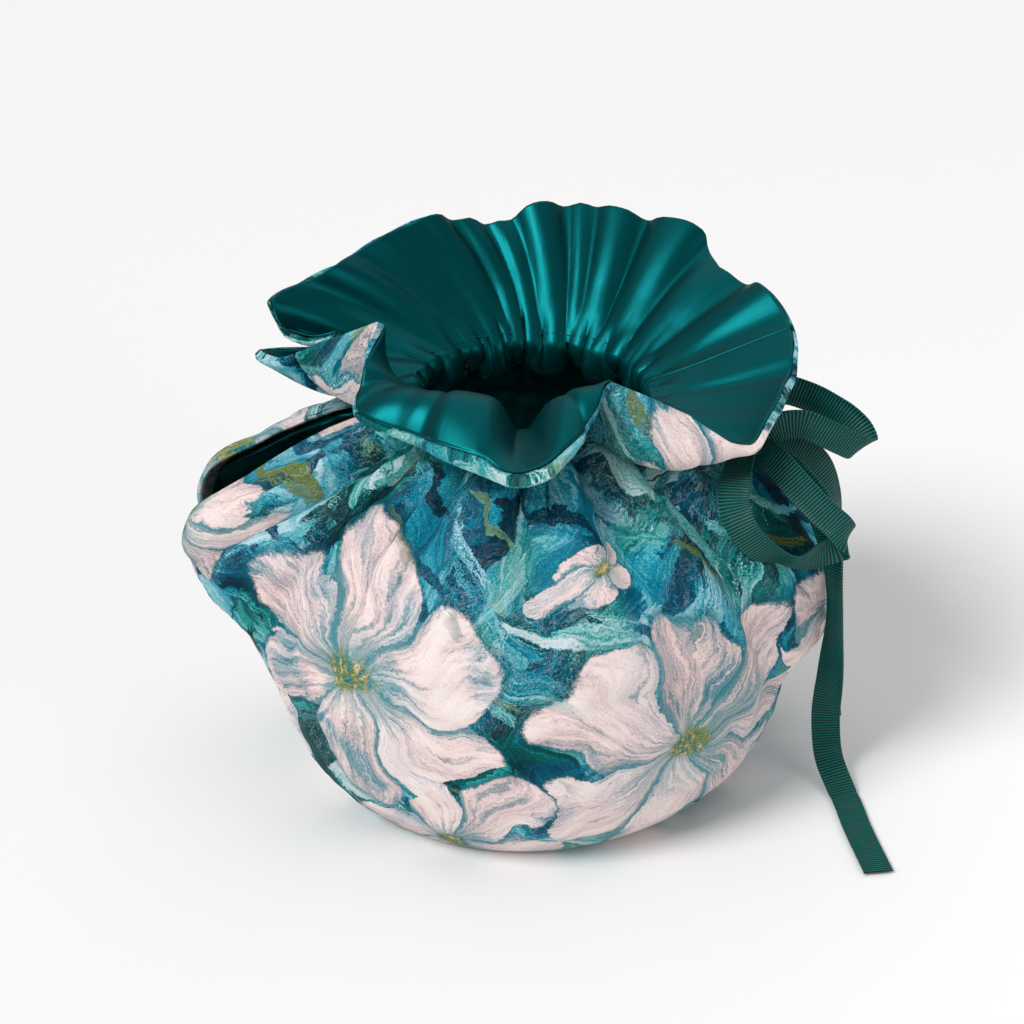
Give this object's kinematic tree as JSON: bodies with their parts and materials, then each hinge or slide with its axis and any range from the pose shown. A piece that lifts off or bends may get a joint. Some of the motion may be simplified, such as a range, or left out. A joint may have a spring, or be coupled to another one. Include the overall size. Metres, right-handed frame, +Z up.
{
  "type": "tea cosy",
  "caption": "Padded, gathered teapot cover with a fluted frill at its neck, open slits for spout and handle, and a ribbon tied in a bow.",
  "frame": {"origin": "middle of the whole cosy's footprint, on the table it stands on", "axes": "+X towards the handle's side, where the bow is tied; -X towards the spout's side; -Y towards the viewer of the picture; +Z up"},
  "size_m": [0.238, 0.1846, 0.1801],
  "materials": {
    "print": "printed cloth with padding, painterly flowers in pale pink, teal and aqua",
    "satin": "deep teal satin",
    "ribbon": "dark green cross-ribbed ribbon"
  },
  "bodies": {
    "root": {"cover_front": "print", "cover_back": "print", "lining_front": "satin", "lining_back": "satin", "ribbon_tie": "ribbon"}
  },
  "joints": []
}
